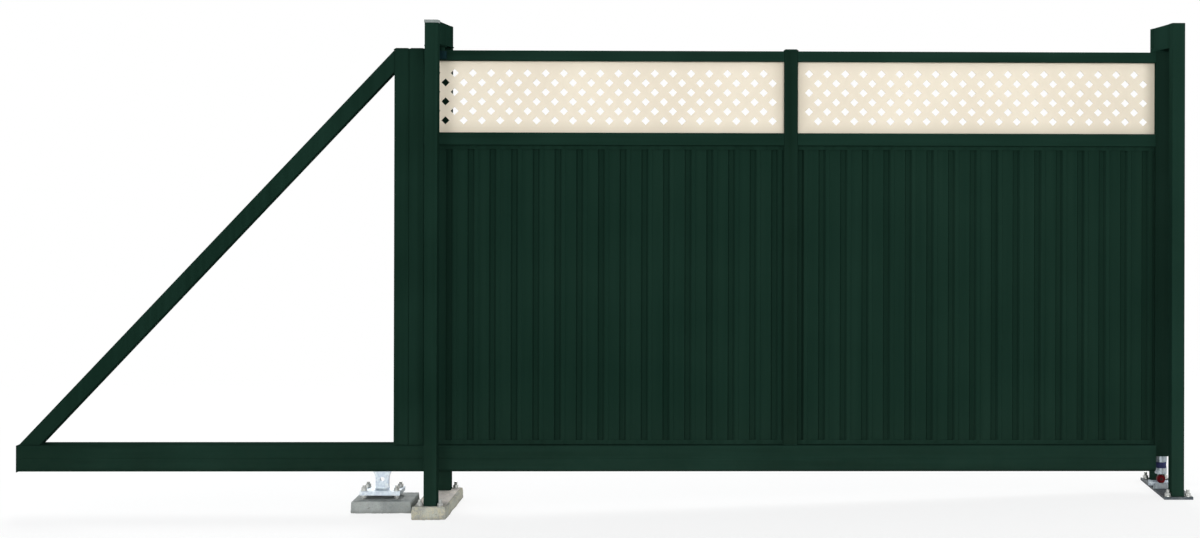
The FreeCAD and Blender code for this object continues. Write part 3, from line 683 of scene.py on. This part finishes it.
def draft_sides(block, draft):
    """Pull a block's top in, so that its sides slope as in a mould."""
    make_active(block)
    top = max(corner.co.z for corner in block.data.vertices)
    bpy.ops.object.mode_set(mode="EDIT")
    bpy.ops.mesh.select_all(action="DESELECT")
    bpy.ops.object.mode_set(mode="OBJECT")
    for corner in block.data.vertices:
        corner.select = corner.co.z > top - 0.1 * MM
    bpy.ops.object.mode_set(mode="EDIT")
    bpy.ops.transform.resize(value=(1 - draft, 1 - draft, 1))
    bpy.ops.object.mode_set(mode="OBJECT")


def roughen(block, lumps):
    """Turn blocks into one lumpy casting: even cells, then broad waves, lumps and grit."""
    apply_modifier(block, "REMESH", mode="VOXEL", voxel_size=PAD_VOXEL)
    for size, depth in ((WAVE_SIZE, lumps), (LUMP_SIZE, lumps * 0.7), (GRIT_SIZE, GRIT_DEPTH)):
        pattern = bpy.data.textures.new("cast_lumps", "CLOUDS")
        pattern.noise_scale = size
        pattern.noise_depth = 2
        apply_modifier(
            block, "DISPLACE", texture=pattern, texture_coords="LOCAL", strength=2 * depth, mid_level=0.5)
    return block


def cast_pads():
    """Cast the carriage's pad, and the guide portal's pad with the mortar that beds its base plate."""
    low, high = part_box("carriage_pad")
    skin = Vector((PAD_SKIN, PAD_SKIN, PAD_SKIN))
    pad = plain_block(low + skin, high - skin)
    draft_sides(pad, PAD_DRAFT)
    settle(roughen(pad, CARRIAGE_LUMPS), "carriage_pad_cast", "supports", "concrete", SHADED_CARRIAGE_CONCRETE)
    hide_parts("carriage_pad")
    low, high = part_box("left_pad")
    plate_low, plate_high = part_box("left_base_plate")
    edge = MORTAR_EDGE + PAD_SKIN
    bed = plain_block(
        (low.x + edge, low.y + edge, low.z + PAD_SKIN),
        (high.x - edge, high.y - edge, plate_high.z - MORTAR_DROP))
    lap = plain_block(
        (low.x + edge, low.y + edge, low.z + PAD_SKIN),
        (high.x - edge, plate_low.y + MORTAR_LAP, plate_high.z + MORTAR_COVER))
    block = plain_block(low + skin, high - skin)
    settle(roughen(join([block, bed, lap]), GUIDE_LUMPS), "left_pad_cast", "supports", "concrete")
    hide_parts("left_pad")


def set_roller_sleeve():
    """Put a dark blue sleeve with two shallow grooves round the neck above the end roller."""
    low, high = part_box("end_roller_bracket")
    roller_low, roller_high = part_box("end_roller")
    middle = (roller_low + roller_high) / 2
    foot = high.z - SLEEVE_DROP
    clear_selection()
    bpy.ops.mesh.primitive_cylinder_add(
        vertices=64, radius=SLEEVE_RADIUS, depth=SLEEVE_HEIGHT,
        location=(middle.x, (low.y + high.y) / 2, foot + SLEEVE_HEIGHT / 2))
    sleeve = bpy.context.object
    make_active(sleeve)
    bpy.ops.object.transform_apply(location=True, rotation=True, scale=True)
    bpy.ops.object.mode_set(mode="EDIT")
    for share in SLEEVE_GROOVES[0] + SLEEVE_GROOVES[1]:
        bpy.ops.mesh.select_all(action="SELECT")
        bpy.ops.mesh.bisect(plane_co=(0, 0, foot + share * SLEEVE_HEIGHT), plane_no=(0, 0, 1))
    bpy.ops.mesh.select_all(action="DESELECT")
    bpy.ops.object.mode_set(mode="OBJECT")
    for face in sleeve.data.polygons:
        share = (face.center.z - foot) / SLEEVE_HEIGHT
        grooved = any(start < share < end for start, end in SLEEVE_GROOVES)
        face.select = abs(face.normal.z) < 0.1 and grooved
    bpy.ops.object.mode_set(mode="EDIT")
    bpy.ops.mesh.extrude_region_shrink_fatten(TRANSFORM_OT_shrink_fatten={"value": -GROOVE_DEPTH})
    bpy.ops.object.mode_set(mode="OBJECT")
    settle(sleeve, "end_roller_sleeve", "leaf", "dark_nylon", SLEEVE_BLUE)


def set_tail_bolt():
    """Fix the cap on the tail end of the bottom rail with one bolt."""
    low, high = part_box("tail_end_cap")
    head = hex_head(TAIL_BOLT_FLATS, TAIL_BOLT_HEIGHT, WASHER_HEIGHT)
    bolt = join([head, washer_ring(0)])
    bolt.rotation_euler = (0, -math.pi / 2, 0)
    bolt.location = (low.x, (low.y + high.y) / 2, (low.z + high.z) / 2)
    settle(bolt, "tail_end_bolt", "leaf", "green_powder_coat")


def set_guide_bolts():
    """Bolt the guide plate up to the bridge at its four corners."""
    low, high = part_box("guide_plate")
    pattern = hex_head(GUIDE_BOLT_FLATS, GUIDE_BOLT_HEIGHT, -GUIDE_BOLT_HEIGHT)
    places = [(x, y, low.z) for x in (low.x + GUIDE_BOLT_EDGE, high.x - GUIDE_BOLT_EDGE)
              for y in (low.y + GUIDE_BOLT_EDGE, high.y - GUIDE_BOLT_EDGE)]
    bolts = join([copy_of(pattern, place) for place in places])
    settle(bolts, "guide_plate_bolts", "supports", "green_powder_coat")
    bpy.data.objects.remove(pattern)


def set_bridge_lip():
    """Turn down a lip under the receiving bridge, which hides the gap above the leaf as in the photo."""
    low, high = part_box("right_bridge")
    lip = plain_block(
        (low.x + LIP_INSET, low.y, low.z - LIP_DEPTH), (high.x - LIP_INSET, high.y, low.z + LIP_DEPTH))
    apply_modifier(lip, "BEVEL", width=LIP_ROUNDING, segments=3)
    settle(lip, "receiving_bridge_lip", "supports", "green_powder_coat")


set_anchors()
set_carriage_studs()
set_rivets()
set_welds()
cast_pads()
set_roller_sleeve()
set_tail_bolt()
set_guide_bolts()
set_bridge_lip()


def clear_view(tree):
    """Return an output that is 1 for rays by which the camera sees, and 0 for other light."""
    path = add(tree, "ShaderNodeLightPath")
    seen = add(tree, "ShaderNodeMath", {
        0: path.outputs["Is Camera Ray"], 1: path.outputs["Is Glossy Ray"]}, operation="MAXIMUM")
    clear = add(tree, "ShaderNodeMath", {
        0: seen.outputs[0], 1: path.outputs["Is Transmission Ray"]}, operation="MAXIMUM")
    return clear.outputs[0]


def pale_floor():
    """Lay a floor that is level under the pads and rises gently to the receiving portal's plate."""
    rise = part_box("right_base_plate")[0].z
    clear_selection()
    bpy.ops.mesh.primitive_plane_add(size=2 * FLOOR_REACH, location=(0, 0, 0))
    floor = bpy.context.object
    floor.name = "floor"
    bpy.ops.object.mode_set(mode="EDIT")
    for x in (RAMP_START, RAMP_END):
        bpy.ops.mesh.select_all(action="SELECT")
        bpy.ops.mesh.bisect(plane_co=(x, 0, 0), plane_no=(1, 0, 0))
    bpy.ops.mesh.select_all(action="DESELECT")
    bpy.ops.object.mode_set(mode="OBJECT")
    for corner in floor.data.vertices:
        corner.select = corner.co.x > RAMP_END - MM
    bpy.ops.object.mode_set(mode="EDIT")
    bpy.ops.transform.translate(value=(0, 0, rise))
    bpy.ops.object.mode_set(mode="OBJECT")
    material, tree, place = start_finish("pale_screed_floated")
    clear = clear_view(tree)
    colour = add(tree, "ShaderNodeMix", {
        0: clear, 6: linear("#A9A8A2"), 7: linear("#FBFBFA")}, data_type="RGBA")
    surface = add(tree, "ShaderNodeBsdfPrincipled", {
        "Base Color": colour.outputs[2], "Roughness": 0.9, "Specular IOR Level": 0.1})
    white = add(tree, "ShaderNodeEmission", {"Color": linear("#FFFFFF"), "Strength": 1.0})
    spot = add(tree, "ShaderNodeSeparateXYZ", {"Vector": place})
    away = add(tree, "ShaderNodeMath", {0: spot.outputs["Y"]}, operation="ABSOLUTE")
    ramp = add(tree, "ShaderNodeMapRange", {
        "Value": away.outputs[0], "From Min": FLOOR_NEAR, "From Max": FLOOR_FAR,
        "To Min": 0.8, "To Max": 1.0})
    share = add(tree, "ShaderNodeMath", {0: clear, 1: ramp.outputs[0]}, operation="MULTIPLY")
    pale = add(tree, "ShaderNodeMixShader", {0: share.outputs[0], 1: surface.outputs[0], 2: white.outputs[0]})
    add(tree, "ShaderNodeOutputMaterial", {"Surface": pale.outputs[0]})
    floor.data.materials.append(material)


def soft_light():
    """Light the gate as on a hazy day: a sky brighter at both ends, two lamps in front and one behind."""
    world = bpy.data.worlds.new("overcast_sky")
    bpy.context.scene.world = world
    world.use_nodes = True
    tree = world.node_tree
    tree.nodes.clear()
    clear = clear_view(tree)
    way = add(tree, "ShaderNodeTexCoord")
    spot = add(tree, "ShaderNodeSeparateXYZ", {"Vector": way.outputs["Generated"]})
    square = add(tree, "ShaderNodeMath", {0: spot.outputs["X"], 1: spot.outputs["X"]}, operation="MULTIPLY")
    aside = add(tree, "ShaderNodeMath", {0: square.outputs[0], 1: square.outputs[0]}, operation="MULTIPLY")
    haze = add(tree, "ShaderNodeMath", {
        0: aside.outputs[0], 1: SKY_SIDES, 2: SKY_LEVEL}, operation="MULTIPLY_ADD")
    sky = add(tree, "ShaderNodeBackground", {"Color": linear("#F3F6FA"), "Strength": haze.outputs[0]})
    backdrop = add(tree, "ShaderNodeBackground", {"Color": linear("#FFFFFF"), "Strength": 1.0})
    shown = add(tree, "ShaderNodeMixShader", {
        0: clear, 1: sky.outputs[0], 2: backdrop.outputs[0]})
    add(tree, "ShaderNodeOutputWorld", {"Surface": shown.outputs[0]})
    clear_selection()
    for name, energy, spread, tilt, turn in LAMPS:
        bpy.ops.object.light_add(type="SUN", location=(0, 0, LAMP_HEIGHT))
        lamp = bpy.context.object
        lamp.name = name
        lamp.data.energy = energy
        lamp.data.angle = math.radians(spread)
        lamp.rotation_euler = (math.radians(tilt), 0, math.radians(turn))


def photo_camera():
    """Set up the camera of the photograph, with its axis off the middle of the frame."""
    view = bpy.data.cameras.new("photo_camera")
    view.sensor_fit = "HORIZONTAL"
    view.sensor_width = SENSOR_WIDTH
    view.lens = FOCAL_PIXELS * SENSOR_WIDTH / PHOTO_WIDTH
    view.shift_x = (PHOTO_WIDTH / 2 - AXIS_PIXEL[0]) / PHOTO_WIDTH
    view.shift_y = (AXIS_PIXEL[1] - PHOTO_HEIGHT / 2) / PHOTO_WIDTH
    view.clip_end = 500
    camera = bpy.data.objects.new("photo_camera", view)
    bpy.context.collection.objects.link(camera)
    camera.location = CAMERA_PLACE
    camera.rotation_euler = (math.pi / 2, CAMERA_ROLL, CAMERA_YAW)
    bpy.context.scene.camera = camera


pale_floor()
soft_light()
photo_camera()
bpy.context.scene.view_settings.view_transform = "Standard"
